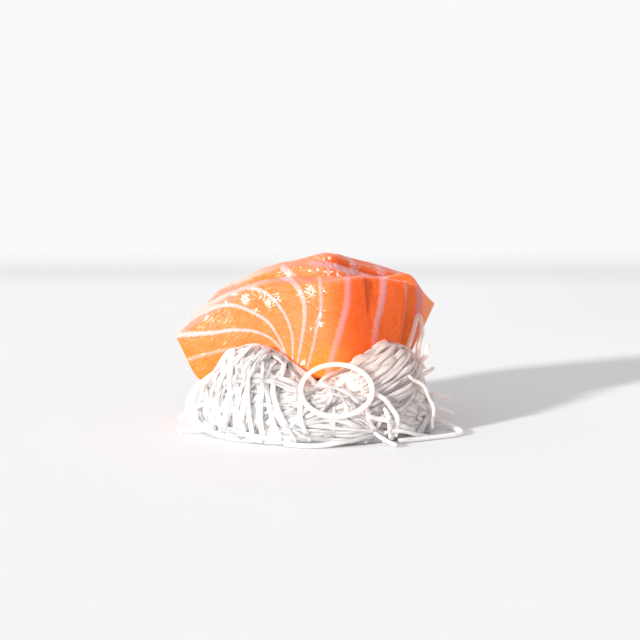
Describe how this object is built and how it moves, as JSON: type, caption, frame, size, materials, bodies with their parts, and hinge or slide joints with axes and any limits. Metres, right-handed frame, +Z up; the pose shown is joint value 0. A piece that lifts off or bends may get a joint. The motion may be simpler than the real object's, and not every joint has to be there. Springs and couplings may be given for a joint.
{
  "type": "salmon sashimi on shredded radish",
  "caption": "Thick salmon sashimi slices with pale fat lines, leaning one behind another on a loose mound of shredded white radish, with no plate.",
  "frame": {"origin": "middle of the arrangement's box, on the surface that the mound rests on", "axes": "+X along the slices towards their split right end, +Y away from the cut face in front, +Z up"},
  "size_m": [0.0828, 0.0662, 0.0482],
  "materials": {
    "salmon_flesh": "wet and glossy, moist raw fish",
    "radish": "moist, slightly see-through white"
  },
  "bodies": {
    "root": {"slice_front": "salmon_flesh", "slice_second": "salmon_flesh", "slice_third": "salmon_flesh", "radish_mound": "radish"}
  },
  "joints": []
}
